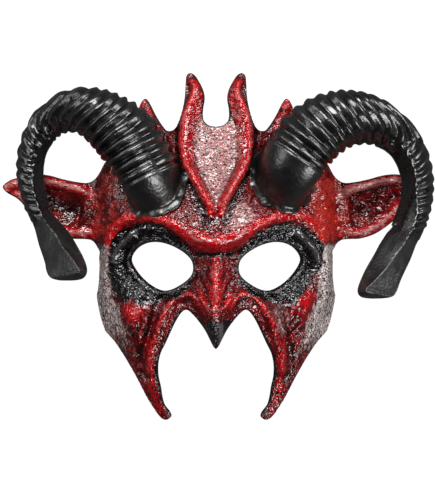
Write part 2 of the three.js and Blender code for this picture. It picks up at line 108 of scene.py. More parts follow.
def through(pairs, x):
    """Cubic pieces through the (x, value) pairs, each with the slope between its neighbours, level beyond."""
    knots, values = np.array(pairs, float).T
    order = np.arange(len(knots))
    before, after = np.maximum(order - 1, 0), np.minimum(order + 1, order[-1])
    slopes = (values[after] - values[before]) / (knots[after] - knots[before])
    x = np.clip(x, knots[0], knots[-1])
    i = np.clip(np.searchsorted(knots, x) - 1, 0, order[-1] - 1)
    width = knots[i + 1] - knots[i]
    t = (x - knots[i]) / width
    ease = 3 * t**2 - 2 * t**3
    return ((1 - ease) * values[i] + ease * values[i + 1]
            + width * ((t**3 - 2 * t**2 + t) * slopes[i] + (t**3 - t**2) * slopes[i + 1]))


def curve(points, steps, closed=False):
    """A centripetal Catmull-Rom curve, as points: each span is a cubic whose end slopes come from its
    neighbours, weighted by the square roots of the distances between them."""
    p = np.array(points, float)
    first, last = (p[-1:], p[:2]) if closed else (2 * p[:1] - p[1:2], 2 * p[-1:] - p[-2:-1])
    p = np.concatenate([first, p, last])
    a, b, c, d = (p[i : len(p) - 3 + i, None] for i in range(4))
    ab, bc, cd = (np.linalg.norm(end - start, axis=2, keepdims=True) ** 0.5
                  for start, end in ((a, b), (b, c), (c, d)))
    leave = ((b - a) / ab - (c - a) / (ab + bc) + (c - b) / bc) * bc
    arrive = ((c - b) / bc - (d - b) / (bc + cd) + (d - c) / cd) * bc
    t = (np.arange(steps) / steps)[None, :, None]
    line = b + leave * t + (3 * (c - b) - 2 * leave - arrive) * t**2 + (2 * (b - c) + leave + arrive) * t**3
    return np.concatenate([line.reshape(-1, p.shape[1]), c[-1]])


def nearest(line, x, y):
    """Distance to a line of points, the side (+1 is left of it) and the share of the way along it: the foot
    of the perpendicular on each short piece, kept between its ends, and then the least over all pieces."""
    best, side, along = np.full(x.shape, np.inf), np.ones(x.shape), np.zeros(x.shape)
    spans = len(line) - 1
    for i in range(spans):
        (ax, ay), (dx, dy) = line[i], line[i + 1] - line[i]
        t = np.clip(((x - ax) * dx + (y - ay) * dy) / (dx * dx + dy * dy), 0, 1)
        distance = np.hypot(x - ax - t * dx, y - ay - t * dy)
        closer = distance < best
        best = np.where(closer, distance, best)
        side = np.where(closer, np.where(dx * (y - ay) - dy * (x - ax) >= 0, 1, -1), side)
        along = np.where(closer, (i + t) / spans, along)
    return best, side, along


def depth_inside(line, x, y):
    """Distance to a line, positive inside the shape that it closes: a ray to the right crosses it oddly."""
    ends = np.roll(line, -1, axis=0)
    inside = np.zeros(x.shape, bool)
    for (ax, ay), (bx, by) in zip(line, ends):
        if ay != by:
            inside ^= ((ay > y) != (by > y)) & (x < (bx - ax) * (y - ay) / (by - ay) + ax)
    distance = nearest(line, x, y)[0]
    return np.where(inside, distance, -distance)


half_outline = curve(OUTLINE, 4)
eye = curve(EYE, 5, closed=True)

# Lines of the carving on the right half of the face, in mm.
BROW = curve([(0, 1.8), (8, 3), (16, 6), (25, 11.4), (34, 16.2), (44, 19), (53, 18.5), (61, 13.6),
              (66.5, 6), (68.5, -3)], 3)
LIP = curve([(5.5, -42.5), (8.5, -36), (12.2, -31.7), (17.1, -29.8), (23.3, -31.4), (28.8, -36.5),
             (33, -43.6), (36, -52), (38.4, -60), (40.6, -68), (41, -77)], 3)
FLAME = curve([(16, 105.5), (13.6, 100.7), (13, 95.6), (15.2, 88.8), (18.3, 81), (20.2, 71.6), (20.2, 60.2),
               (18.4, 51.4), (14, 42.7), (8.1, 32.3), (4.9, 26.8), (3.3, 20.7)], 3)
SIDE_FLAME = curve([(45.6, 90.5), (42.5, 82), (38, 72), (36, 60)], 3)
EAR_RIM = curve([(80, 33), (88, 36.5), (98, 39), (107, 41.3), (116, 42.3), (127, 41), (135, 38.6)], 3)
EAR_FOLD = curve([(80, 9), (91, 8.4), (100, 11), (108, 16.5), (118, 26), (128, 34)], 3)
EAR_HOLLOW = curve([(84, 22), (95, 24), (106, 28), (118, 34)], 3)
CORNER_FOLD = curve([(64.5, 8), (66, 0), (64.5, -8)], 3)
CHEEK_RIDGE = curve([(58, -36), (54, -46), (47.5, -62), (43.5, -75), (40, -88), (36, -99)], 3)
NOSE_HEIGHT = [(-64, 31), (-50, 23), (-35, 14), (-20, 7.5), (-7, 3.5), (4, 0)]
NOSE_WIDTH = [(-64, 5.5), (-50, 7.5), (-35, 8), (-20, 6.5), (0, 6)]
BROW_UNDER = curve([(0, -5.6), (6, -5.6), (11.7, -5.2), (17.5, 0), (23.9, 5.2), (29.5, 9.8), (40.5, 12.6),
                    (50, 12.4), (58, 8.5)], 3)
FLAME_CREASE = curve([(18.5, 41.5), (15.4, 36), (11.4, 30), (8, 22.5), (5.6, 15), (4.8, 9)], 3)
FOREHEAD_CREASE = curve([(18, 34), (14.9, 29), (11.2, 23), (8.6, 17), (7.6, 12)], 3)
CORNER_ROLL = curve([(49, 8.5), (54, 4), (58.6, -1), (61.8, -6.5), (62.4, -12)], 3)
CORNER_CREASE = curve([(53.5, -1.5), (56.8, -6), (58.4, -12.5), (62.5, -16.5)], 3)
NOSE_CREASE = curve([(6.4, -7), (5, -13), (6.2, -18), (3.2, -25), (4.4, -31)], 3)
NOSTRIL = curve([(12, -17), (9.2, -22.5), (6.6, -26), (5.4, -32), (2.6, -37)], 3)
SNARL = curve([(16, -26), (12, -30), (10.4, -34), (6.6, -39)], 3)
CHEEK_CREASE = curve([(27, -37), (35.5, -41), (40.5, -50), (44.5, -62), (44.5, -76), (41, -90)], 3)
OUTER_CREASE = curve([(42, -38), (47, -47), (49.5, -58), (47.5, -70)], 3)
EAR_GROOVE = curve([(84, 30.5), (92, 34), (102, 36), (114, 38.6), (126, 38)], 3)


def ridge(line, height, width, fade, x, y):
    """height times a bell across the line, eased in and out at its two ends."""
    distance, _, along = nearest(line, x, y)
    return height * smooth(-0.02, fade, along) * smooth(-0.02, fade, 1 - along) * bell(distance, width)


def carving(x, y):
    """Height of the carving over the dome, in mm: ridges, rolls and hollows, each a bell across its line."""
    from_eye = -depth_inside(eye, x, y)
    socket = -6.5 * bell(np.maximum(0, from_eye), 9) * smooth(22, -2, y)
    eye_bead = 1.6 * bell(from_eye - 1.6, 1.8)
    distance, side, along = nearest(BROW, x, y)
    brow = mix(7.5, 3.5, smooth(0, 0.8, along)) * bell(distance, np.where(side > 0, 8, 4.2))
    nose = through(NOSE_HEIGHT, y) * np.exp(-((x / through(NOSE_WIDTH, y)) ** 1.7))
    distance, side, along = nearest(LIP, x, y)
    groove = np.where(side > 0, bell(distance - 6, 2.4), 0)
    lip = smooth(-0.05, 0.12, along) * (3.6 * bell(distance, 3) - 1.6 * groove)
    distance, side, along = nearest(FLAME, x, y)
    inner_width = mix(6, 3, smooth(0.45, 0.85, along))
    flame = (5.6 * smooth(-0.03, 0.2, along) * smooth(-0.03, 0.25, 1 - along)
             * bell(distance, np.where(side > 0, 3, inner_width)))
    cheek = 5.5 * bell(x - 50, 13) * bell(y + 42, 15)
    return (socket + eye_bead + brow + nose + lip + flame + cheek
            + ridge(SIDE_FLAME, 3, 3, 0.2, x, y)
            + ridge(CHEEK_RIDGE, 2.2, 4.5, 0.3, x, y)
            + ridge(CORNER_FOLD, 0.8, 3, 0.4, x, y)
            + ridge(EAR_RIM, 4.5, 4, 0.1, x, y)
            + ridge(EAR_FOLD, 3, 3.5, 0.15, x, y)
            + ridge(EAR_HOLLOW, -6, 8, 0.1, x, y))


def grain(a, b, seed, wrap=128):
    """Random heights between -1 and 1 at the whole numbers of a and b, eased from each to the next. They
    repeat after wrap whole numbers of a."""
    table = np.random.default_rng(seed).uniform(-1, 1, (wrap, 128))
    i, j = np.floor(a).astype(int), np.floor(b).astype(int)
    s, t = smooth(0, 1, a - i), smooth(0, 1, b - j)
    low = mix(table[i % wrap, j % 128], table[(i + 1) % wrap, j % 128], s)
    high = mix(table[i % wrap, (j + 1) % 128], table[(i + 1) % wrap, (j + 1) % 128], s)
    return mix(low, high, t)


def tooling(x, y, u):
    """Finer relief than the carving, in mm: creases and rolls, each a bell across its line, the flame's roll
    with a flatter top and grooves beside it, and leathery wrinkles made of grain that is drawn out down the
    cheeks and along the ears. The grain follows u, so that the two halves of the face differ."""
    distance, side, along = nearest(FLAME, x, y)
    ends = smooth(0, 0.06, along) * smooth(0, 0.16, 1 - along)
    roll = np.where(side > 0, 1.5 * np.exp(-((distance / 2.8) ** 4)) - 1.8 * bell(distance - 5.2, 1.9),
                    1.5 * bell(distance, 2.6) - 0.9 * smooth(0.5, 0.8, along) * bell(distance - 5, 1.6))
    folds = ends * roll
    distance, side, along = nearest(LIP, x, y)
    folds = folds - np.where(side > 0, 1.5, 0) * bell(distance - 7, 2.4) * smooth(0.2, 0.45, along)
    for line, height, width, fade in (
        (BROW_UNDER, -2.0, 1.1, 0.02), (FLAME_CREASE, -1.6, 1.3, 0.2), (FOREHEAD_CREASE, -1.2, 1.4, 0.3),
        (CORNER_ROLL, 4.2, 3.3, 0.1), (CORNER_CREASE, -2.6, 1.6, 0.2), (NOSE_CREASE, -1.1, 1.3, 0.3),
        (NOSTRIL, -1.9, 1.2, 0.25), (SNARL, -1.3, 1, 0.25), (CHEEK_CREASE, -1.2, 2, 0.35),
        (OUTER_CREASE, -1.2, 1.5, 0.5), (EAR_GROOVE, -1.3, 0.9, 0.12),
    ):
        folds = folds + ridge(line, height, width, fade, x, y)
    cheek = smooth(-26, -44, y) * smooth(16, 30, x)
    ear = smooth(76, 86, x) * smooth(-2, 4, y)
    face = 1 - np.maximum(cheek, ear)
    lean = u - np.sign(u) * 0.35 * y
    lumps = 0.42 * grain(u / 3.6, y / 2.1, 1) + 0.3 * grain(u / 2.3, y / 1.6, 2)
    streaks = 0.5 * grain(lean / 2, y / 7, 3) + 0.45 * grain(lean / 1.7, y / 3, 4)
    pleats = 0.5 * grain(u / 9, (y - 0.1 * x) / 1.9, 5) + 0.4 * grain(u / 3.2, y / 1.7, 6)
    blunt = -0.6 * bell(x, 1.7) * smooth(-5, -10, y) * smooth(-62, -54, y)
    return folds + blunt + face * lumps + cheek * streaks + ear * pleats


def ridge_at(y):
    """Distance of the cheekbone ridge from the midline: level, and then closing in below a height."""
    return RIDGE_HALF_WIDTH - RIDGE_TAPER * np.maximum(0, RIDGE_TAPER_START - y)


def dome(x, y):
    """A parabola across the face under the height along the midline, less the drop where the horns stand."""
    seat = smooth(14, 32, x) * smooth(65, 44, x) * smooth(12, 48, y) * smooth(102, 72, y)
    return through(DOME_HEIGHT, y) - DOME_FALL * x * x - SEAT_DROP * seat


def bare_shell(u, v):
    """The plain shell. v is the height y, and u is x as far as the cheekbone ridge and the way down the side
    after it, where the slope turns into the side wall's or, higher up, into the temple's and the ear's."""
    across, start = np.abs(u), ridge_at(v)
    x, z = np.minimum(across, start), dome(np.minimum(across, start), v)
    first = np.arctan(2 * DOME_FALL * start)
    step = np.maximum(0, across - start) / SLOPE_PIECES
    wall = smooth(*EAR_BOTTOM, v)
    for i in range(SLOPE_PIECES):
        way = (i + 0.5) * step
        to_wall = mix(first, np.radians(through(WALL_SLOPE, v)), smooth(0, WALL_BEND, way))
        to_temple = mix(first, np.radians(TEMPLE_SLOPE), smooth(0, TEMPLE_BEND, way))
        to_ear = mix(to_temple, np.radians(EAR_SLOPE), smooth(*EAR_ROOT, way))
        slope = mix(to_ear, to_wall, wall)
        x, z = x + np.cos(slope) * step, z - np.sin(slope) * step
    return np.sign(u) * x, v, z


def on_shell(u, v):
    """Positive on the shell, zero on its cut edges: the least of the distances to the three cuts."""
    x, y, z = bare_shell(u, v)
    x = np.abs(x)
    return np.minimum(np.minimum(depth_inside(half_outline, x, y), -depth_inside(eye, x, y)),
                      z - through(CUT_HEIGHT, y))


def trimmed_grid(step):
    """A grid over u and v, cut to where on_shell is positive: points near the edge move on to it along its
    slope, and triangles that still cross it are cut where it is zero. Gives u, v, on_shell and triangles."""
    across = np.linspace(-HALF_SPAN, HALF_SPAN, round(2 * HALF_SPAN / step) + 1)
    up = np.linspace(LOW_EDGE, HIGH_EDGE, round((HIGH_EDGE - LOW_EDGE) / step) + 1)
    u, v = (side.ravel() for side in np.meshgrid(across, up))
    value = on_shell(u, v)
    # A step down the slope of on_shell, which is measured over h each way, takes the near points to the edge.
    h = 0.1
    near = np.flatnonzero(np.abs(value) < NODE_SNAP * step)
    slope_u = (on_shell(u[near] + h, v[near]) - on_shell(u[near] - h, v[near])) / (2 * h)
    slope_v = (on_shell(u[near], v[near] + h) - on_shell(u[near], v[near] - h)) / (2 * h)
    size = slope_u**2 + slope_v**2
    shift = np.where(size > 0.1, value[near] / np.maximum(size, 0.1), 0)
    u[near] -= shift * slope_u
    v[near] -= shift * slope_v
    value[near] = 0
    wide = len(across)
    a = (np.arange(len(up) - 1)[:, None] * wide + np.arange(wide - 1)).ravel()
    b, c, d = a + 1, a + wide + 1, a + wide
    corners = np.concatenate([np.stack([a, b, c], 1), np.stack([a, c, d], 1)])
    corners = corners[(value[corners] > 0).any(1)]
    outside = value[corners] < 0
    whole = corners[~outside.any(1)]
    # The corner that is alone on its side of the edge comes first.
    crossed, outside = corners[outside.any(1)], outside[outside.any(1)]
    one_out = outside.sum(1) == 1
    alone = np.where(one_out, outside.argmax(1), (~outside).argmax(1))
    p, q, r = (crossed[np.arange(len(crossed)), (alone + k) % 3] for k in range(3))
    pairs = np.sort(np.concatenate([np.stack([p, q], 1), np.stack([p, r], 1)]), axis=1)
    pairs, place = np.unique(pairs, axis=0, return_inverse=True)
    inner = np.where(value[pairs[:, 0]] > value[pairs[:, 1]], pairs[:, 0], pairs[:, 1])
    outer = pairs.sum(1) - inner
    in_u, in_v, out_u, out_v = u[inner], v[inner], u[outer], v[outer]
    # Halving the way between the two ends, twelve times, finds where the edge crosses each side.
    for _ in range(12):
        mid_u, mid_v = (in_u + out_u) / 2, (in_v + out_v) / 2
        keep = on_shell(mid_u, mid_v) > 0
        in_u, in_v = np.where(keep, mid_u, in_u), np.where(keep, mid_v, in_v)
        out_u, out_v = np.where(keep, out_u, mid_u), np.where(keep, out_v, mid_v)
    cut = np.where(value[inner] > 0, len(u) + np.arange(len(pairs)), inner)[place.ravel()]
    pq, pr = cut[: len(p)], cut[len(p) :]
    left = ~one_out
    pieces = [whole, np.stack([p, pq, pr], 1)[left],
              np.stack([pq, q, r], 1)[one_out], np.stack([pq, r, pr], 1)[one_out]]
    triangles = np.concatenate(pieces)
    triangles = triangles[(triangles != np.roll(triangles, 1, axis=1)).all(1)]
    used, triangles = np.unique(triangles, return_inverse=True)
    u, v = np.concatenate([u, in_u])[used], np.concatenate([v, in_v])[used]
    value = np.concatenate([value, np.zeros(len(in_u))])[used]
    return u, v, value, triangles.reshape(-1, 3)


u, v, edge_depth, front_faces = trimmed_grid(SHELL_STEP)
bare = np.stack(bare_shell(u, v), 1)
h = 0.5
slope_across = np.stack(bare_shell(u + h, v), 1) - np.stack(bare_shell(u - h, v), 1)
slope_up = np.stack(bare_shell(u, v + h), 1) - np.stack(bare_shell(u, v - h), 1)
outward = np.cross(slope_across, slope_up)
outward /= np.linalg.norm(outward, axis=1, keepdims=True)

# The carving fades out round the bend into the side wall, which is plain but for its wrinkles.
side_wall = smooth(*EAR_BOTTOM, v)
down_side = np.abs(u) - ridge_at(v)
carved = 1 - side_wall * smooth(0, WALL_BEND, down_side)
face_x = np.abs(bare[:, 0])
sheet = bare + np.stack([0 * u, 0 * u, carved * carving(face_x, v)], 1)
inside = sheet - WALL * outward
inside[:, 2] = np.maximum(inside[:, 2], 0)

# The front is rounded over within EDGE_ROUND mm of the cut edges, and the fine relief fades out before them.
EDGE_ROUND = 1.1
rounding = np.clip(edge_depth / EDGE_ROUND, 0, 1)
fine = carved * tooling(face_x, v, u) + (1 - carved) * 0.5 * grain((u + 0.8 * v) / 2.2, v / 2.2, 7)
fine = fine * smooth(0, 3, edge_depth) - EDGE_ROUND * (1 - np.sqrt(1 - (1 - rounding) ** 2))
front = sheet + fine[:, None] * outward
front[:, 2] = np.maximum(front[:, 2], 0)


def closed_skin(front, back, faces):
    """Points and triangles of a closed skin: the front, the back turned round, and a wall along each edge
    that only one triangle of the front has."""
    count = len(front)
    back_faces = faces[:, ::-1] + count
    edges = np.concatenate([faces[:, [0, 1]], faces[:, [1, 2]], faces[:, [2, 0]]])
    number, turned = edges[:, 0] * count + edges[:, 1], edges[:, 1] * count + edges[:, 0]
    p, q = edges[~np.isin(number, turned)].T
    walls = np.concatenate([np.stack([q, p, p + count], 1), np.stack([q, p + count, q + count], 1)])
    return np.concatenate([front, back]), np.concatenate([faces, back_faces, walls])


def add_piece(name, points, faces, paints, material, sharp):
    """Makes a mesh of points in mm and triangles, with one number for each point in each of its paints, and
    shades it smooth but for edges of more than sharp degrees. It rides on the mask's one body and stands for
    the CAD node of its name."""
    mesh = bpy.data.meshes.new(name)
    mesh.vertices.add(len(points))
    mesh.vertices.foreach_set("co", (points * MM).astype(np.float32).ravel())
    mesh.loops.add(faces.size)
    mesh.loops.foreach_set("vertex_index", faces.astype(np.int32).ravel())
    mesh.polygons.add(len(faces))
    mesh.polygons.foreach_set("loop_start", np.arange(0, faces.size, 3, dtype=np.int32))
    mesh.update(calc_edges=True)
    mesh.polygons.foreach_set("use_smooth", np.ones(len(faces), bool))
    mesh.set_sharp_from_angle(angle=np.radians(sharp))
    for paint, amounts in paints.items():
        mesh.attributes.new(paint, "FLOAT", "POINT").data.foreach_set("value", amounts.astype(np.float32))
    mesh.materials.append(material)
    piece = bpy.data.objects.new(name, mesh)
    bpy.context.scene.collection.objects.link(piece)
    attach(piece, "root")
    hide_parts(name.removesuffix("_skin"))


def linear(code):
    """An sRGB hex colour as linear light: each channel c becomes ((c + 0.055) / 1.055)^2.4, or c / 12.92."""
    channels = np.array([int(code[i : i + 2], 16) / 255 for i in (1, 3, 5)])
    light = np.where(channels > 0.04045, ((channels + 0.055) / 1.055) ** 2.4, channels / 12.92)
    return (*light, 1.0)


def add_node(tree, kind, settings, inputs):
    """Adds a node with its settings, and gives each of its inputs a value or another node's output."""
    made = tree.nodes.new(kind)
    for name, value in settings.items():
        setattr(made, name, value)
    for name, value in inputs.items():
        if isinstance(value, bpy.types.NodeSocket):
            tree.links.new(value, made.inputs[name])
        else:
            made.inputs[name].default_value = value
    return made.outputs


# The colours are laid as a painter lays them, each along the lines of the relief it belongs to; some of them
# are painted light and shade.
SOCKET = curve([(14.2, -6.4), (19.7, 1), (29.3, 9.1), (37.5, 12.5), (47, 13.3), (56.5, 10.5), (63.4, 6.4),
                (66.1, -0.4), (66.4, -8.6), (67.5, -15.4), (66.1, -23.6), (62, -30.5), (53.8, -34.5),
                (45.6, -35.9), (37.5, -34.5), (29.3, -32.5), (21.1, -29.2), (16, -23.6), (13, -15.4)], 3,
               closed=True)
FOREHEAD = curve([(0, 77), (9, 80), (14, 70), (13.4, 55), (9.6, 43), (4.4, 31), (1, 22), (0, 14)], 3)
BROW_TOP = curve([(0, 10), (10, 9.5), (18, 12), (25, 17), (20, 26), (13, 27), (9, 22), (6, 12)], 3,
                 closed=True)
TEMPLE = curve([(62, 44), (68, 30), (70, 12)], 3)
SPIKE = curve([(42, -60), (41, -75), (39.5, -90), (35, -102)], 3)


def stroke(line, width, above=0):
    """Paint along a line, or so many mm above it: 1 on it, and less beside it as a bell of that width."""
    return bell(nearest(line, face_x, v - above)[0], width)


def sided(left, right):
    """One value on the left half of the face and another on the right half."""
    return np.where(u < 0, left, right)


# How far each point is below the average of four points round it.
REACH = 1.6
relief = carving(face_x, v) + tooling(face_x, v, u)
neighbours = [carving(np.abs(face_x + dx), v + dy) + tooling(np.abs(face_x + dx), v + dy, u + dx)
              for dx, dy in ((REACH, 0), (-REACH, 0), (0, REACH), (0, -REACH))]
hollow = (sum(neighbours) / 4 - relief) * carved

brow_far, brow_side, brow_way = nearest(BROW, face_x, v)
flame_far, flame_side, flame_way = nearest(FLAME, face_x, v)
lip_far, lip_side, lip_way = nearest(LIP, face_x, v)
from_eye = -depth_inside(eye, face_x, v)
in_socket = depth_inside(SOCKET, face_x, v)
in_forehead = depth_inside(FOREHEAD, face_x, v)
on_ear = smooth(76, 84, face_x) * smooth(0, 5, v)
on_flame = smooth(-0.02, 0.1, flame_way) * smooth(62, 54, face_x)
on_lip = smooth(-0.02, 0.08, lip_way)
on_nose = smooth(17, 12, face_x)
# The flame's slope towards the middle of the face stays red. It narrows downwards, and its foot is not
# darkened by the wash and painted shade of the hollows.
slope_width = mix(7.2, 3.2, smooth(0.4, 0.85, flame_way))
past_slope = flame_far - slope_width
on_slope = on_flame * (flame_side < 0)
red_slope = on_slope * smooth(1, -1, past_slope)
slope_foot = on_slope * smooth(6, 3, past_slope)
down_wall = smooth(-6, 4, down_side) * side_wall * smooth(-78, -40, v)

# Bright red on what stands proud: paint, and on the cheeks and the ears' rims and folds a painted highlight
# as well.
# Painted highlight spots on the cheeks, set lower on the left than on the right.
painted_cheek_highlight = np.hypot(face_x - sided(52, 57), (v + sided(41, 33)) * 0.8)
bright = np.maximum.reduce([
    bell(brow_far / mix(6.5, 3.6, smooth(0, 0.6, brow_way)), 1),
    0.5 * on_slope * smooth(2, 0, past_slope),
    on_flame * bell(flame_far, 2.2),
    0.5 * on_lip * bell(lip_far, 2.8),
    0.9 * bell(face_x, mix(3.4, 6, smooth(-12, -34, v))) * smooth(-46, -34, v) * smooth(-5, -8, v),
    0.7 * bell(face_x - 8, 5) * bell(v + 33, 9),
    0.8 * bell(painted_cheek_highlight, 8),
    1.1 * stroke(EAR_RIM, 4),
    stroke(EAR_FOLD, 4.2),
    stroke(SIDE_FLAME, 4),
    0.6 * stroke(SPIKE, 5),
])

# Painted pink glare and highlights on the forehead and temples, along the crests and, on the right, on the
# cheek and a brow end.
painted_cheek_glints = bell(face_x - 41, 6) * bell(v + 46, 14)
brow_glint = bell(np.hypot(face_x - 58, v - 8), 4)
pale = np.maximum.reduce([
    smooth(-2, 3, in_forehead) * smooth(10, 18, v) * (1 - red_slope),
    sided(0.4, 0.9) * smooth(-1.5, 2, depth_inside(BROW_TOP, face_x, v)),
    0.75 * on_flame * bell(flame_far, 0.85),
    0.8 * stroke(BROW_UNDER, 1.6, 9) * smooth(30, 16, face_x),
    0.95 * stroke(EAR_RIM, sided(2.2, 3.8)),
    0.85 * stroke(EAR_FOLD, 2.6),
    0.7 * stroke(SIDE_FLAME, 1.6),
    sided(0, 0.9) * np.maximum(painted_cheek_glints, brow_glint),
    sided(0.4, 0.1) * smooth(66, 72, face_x) * smooth(8, 14, v) * smooth(82, 76, face_x),
])

# Dark in the creases, beside the rolls and in the hollow of each ear, stronger on the left by the ears: dark
# wash and painted shade.
dark = np.maximum.reduce([
    np.where(flame_side > 0, on_flame * bell(flame_far - 5, 1.8) * smooth(0.1, 0.3, flame_way), 0),
    0.9 * stroke(FLAME_CREASE, 1.6),
    0.8 * stroke(FOREHEAD_CREASE, 2),
    np.where(lip_side > 0, bell(lip_far - 8, 3), 0) * smooth(0.15, 0.4, lip_way) * 0.75,
    0.5 * stroke(NOSE_CREASE, 1.5),
    0.9 * stroke(NOSTRIL, 1.5),
    0.7 * stroke(SNARL, 1.4),
    0.6 * stroke(OUTER_CREASE, 2.2),
    sided(1, 0.7) * stroke(EAR_HOLLOW, 6.5) * smooth(78, 86, face_x),
    0.9 * stroke(EAR_GROOVE, 1.2),
    0.2 * on_ear,
    sided(0.5, 0.15) * smooth(58, 66, face_x) * smooth(4, 12, v) * (1 - on_ear),
])

# Black in the eye sockets, with red let into the right one's corner, on the nose's tip, under the brow over
# the nose and along the cut edges.
red_corner = sided(0, 8) * smooth(46, 60, face_x) * smooth(-13, -21, v)
black = np.maximum.reduce([
    smooth(-4.5, 3.5, in_socket - red_corner),
    smooth(-38, -52, v) * on_nose,
    0.9 * smooth(1.4, 0.1, edge_depth) * (1 - 0.7 * stroke(SIDE_FLAME, 5)),
    1.3 * stroke(BROW_UNDER, 1.3) * smooth(15, 9, face_x),
])

# Calm places have smooth varnish with broad sheens, and glinting ones are the roughest.
brow_calm = np.where(brow_side < 0, smooth(8, 5, brow_far), smooth(3, 1, brow_far))
flame_calm = np.where(flame_side < 0, smooth(0, -2, past_slope), bell(flame_far, 2))
calm = np.maximum.reduce([
    brow_calm * mix(0.5, 1, smooth(34, 14, face_x)),
    0.5 * on_flame * flame_calm,
    sided(0.4, 0.8) * stroke(TEMPLE, 12),
    0.7 * stroke(EAR_RIM, 3),
    0.6 * stroke(EAR_FOLD, 3),
    0.15 * on_lip * smooth(5, 3, lip_far),
    0.6 * stroke(EAR_HOLLOW, 8) * on_ear,
    0.6 * smooth(11, 5, np.hypot(face_x - 50, v + 40)),
    1.5 * stroke(CORNER_ROLL, 3.6),
])
glinting = np.maximum(smooth(-2, 3, in_socket) * (1 - stroke(CORNER_ROLL, 4)), smooth(-38, -50, v) * on_nose)
# Dark wash and painted shade where the relief lies below its neighbours.
hollow_wash_and_shade = 0.8 * smooth(0.4, 1.7, hollow) * (1 - 0.8 * calm) * (1 - slope_foot)
paints = {
    "bright": bright,
    "pale": pale,
    "dark": np.maximum(dark, hollow_wash_and_shade),
    # Lighter red where the relief bulges: dry-brushed paint and a painted highlight.
    "drybrush_and_highlight": smooth(0.15, 0.8, -hollow) * (1 - 0.6 * on_ear) * (1 - 0.95 * red_slope),
    "black": black,
    "warm": sided(0.45, 1) * stroke(TEMPLE, 14),
    # Grey on the eye holes' rims, and painted highlights along the corner rolls and in a streak down the
    # nose's tip.
    "rim": np.maximum.reduce([
        0.8 * bell(from_eye - 1.2, 1.2),
        0.9 * stroke(CORNER_ROLL, 3),
        smooth(-42, -50, v) * smooth(14, 10, face_x) * (0.2 + 1.3 * bell(u - 3.2, 1.5)),
    ]),
    "drawn_out": smooth(-24, -40, v) * smooth(14, 24, face_x),
    "inside": 0 * u,
    # Painted reflection: the side walls pale grey-pink, more on the right.
    "painted_side_reflection": sided(0.95, 1.4) * down_wall,
    "speckled": 0.02 * down_wall - 0.09 * np.maximum(calm, red_slope) + 0.004 * smooth(0, 3, in_forehead),
    "calm": calm - 0.5 * glinting,
}
paints = {name: np.concatenate([amount, 0 * u]) for name, amount in paints.items()}
paints["inside"][len(u) :] = 1

# Hand-painted soft plastic under gloss varnish. The leathery grain breaks the varnish into small sharp
# glints, dark wash and painted shade lie in the creases, bright red and painted highlights lie over what
# stands proud, the flat of the forehead has painted pink glare and the sides a painted pale reflection.
varnished_red = bpy.data.materials.new("hand_painted_red_plastic_varnished")
varnished_red.use_nodes = True
tree = varnished_red.node_tree
shader = tree.nodes["Principled BSDF"]
place = add_node(tree, "ShaderNodeTexCoord", {}, {})["Object"]

# The broad wrinkles lie across the forehead, 4 mm by 2, and run down the cheeks.
BROAD, PLAIN, FINE = 2.2, 1.7, 1.1
across = add_node(tree, "ShaderNodeMapping", {}, {"Vector": place, "Scale": (0.55, 1.25, 1)})["Vector"]
down = add_node(tree, "ShaderNodeMapping", {}, {"Vector": place, "Scale": (1.3, 0.5, 0.8)})["Vector"]
drawn_out = add_node(tree, "ShaderNodeAttribute", {"attribute_name": "drawn_out"}, {})["Fac"]
wrinkles = {}
for size, detail in ((BROAD, 3), (PLAIN, 0), (FINE, 2)):
    lying, hanging = (
        add_node(tree, "ShaderNodeTexNoise", {},
                 {"Vector": way, "Scale": 1 / (size * MM), "Detail": detail})["Fac"]
        for way in (across, down)
    )
    wrinkles[size] = add_node(tree, "ShaderNodeMix", {}, {0: drawn_out, 2: lying, 3: hanging})[0]
# Patches of about 8 mm and 4 mm, and specks of about 1 mm.
mottle, blotch, speck = (
    add_node(tree, "ShaderNodeTexNoise", {},
             {"Vector": place, "Scale": 1 / (size * MM), "Detail": detail})["Fac"]
    for size, detail in ((8, 3), (4, 5), (1.3, 2))
)
# A net of creases, where the noise crosses its middle value, broken into short strokes.
net = add_node(tree, "ShaderNodeMath", {"operation": "PINGPONG"}, {0: wrinkles[PLAIN], 1: 0.5})[0]
creases = add_node(tree, "ShaderNodeMath", {"operation": "MULTIPLY_ADD"},
                   {0: wrinkles[FINE], 1: 0.25, 2: net})[0]

# Each paint covers the ones before it as its amount, plus a part of the noise that breaks it up, goes from
# low to high.
# Painted light: highlight in the lighter reds and the grey, glare in the pink, reflection in the grey-pink.
# The dark is partly painted shade.
colour = linear("#480608")
for paint, breaks, part, low, high, tint in (
    (None, mottle, 1.0, 0.42, 0.6, "#77090f"),
    ("bright", wrinkles[BROAD], 1.1, 0.9, 1.3, "#af0910"),
    ("warm", mottle, 2.4, 1.5, 2.1, "#ac2219"),
    ("drybrush_and_highlight", wrinkles[FINE], 1.4, 0.85, 1.6, "#bb1b1d"),
    ("pale", wrinkles[BROAD], 1.6, 1.25, 1.85, "#ad7b79"),
    ("painted_side_reflection", wrinkles[BROAD], 1.8, 1.2, 2.0, "#ddcdca"),
    (None, wrinkles[FINE], -1.0, -0.42, -0.34, "#1b0404"),
    ("speckled", creases, 1.0, 0.575, 0.605, "#0b0204"),
    ("dark", wrinkles[FINE], -1.3, -0.2, 0.3, "#110404"),
    ("black", blotch, 2.2, 1.35, 1.75, "#080406"),
    ("rim", speck, 1.6, 1.3, 1.9, "#4c4b4b"),
    ("inside", speck, 0.0, 0.4, 0.6, "#1b191b"),
):
    amount = add_node(tree, "ShaderNodeAttribute", {"attribute_name": paint}, {})["Fac"] if paint else 0.0
    broken = add_node(tree, "ShaderNodeMath", {"operation": "MULTIPLY_ADD"},
                      {0: breaks, 1: part, 2: amount})[0]
    cover = add_node(tree, "ShaderNodeMapRange", {"clamp": True},
                     {"Value": broken, "From Min": low, "From Max": high})[0]
    colour = add_node(tree, "ShaderNodeMix", {"data_type": "RGBA"}, {0: cover, 6: colour, 7: linear(tint)})[2]
tree.links.new(colour, shader.inputs["Base Color"])

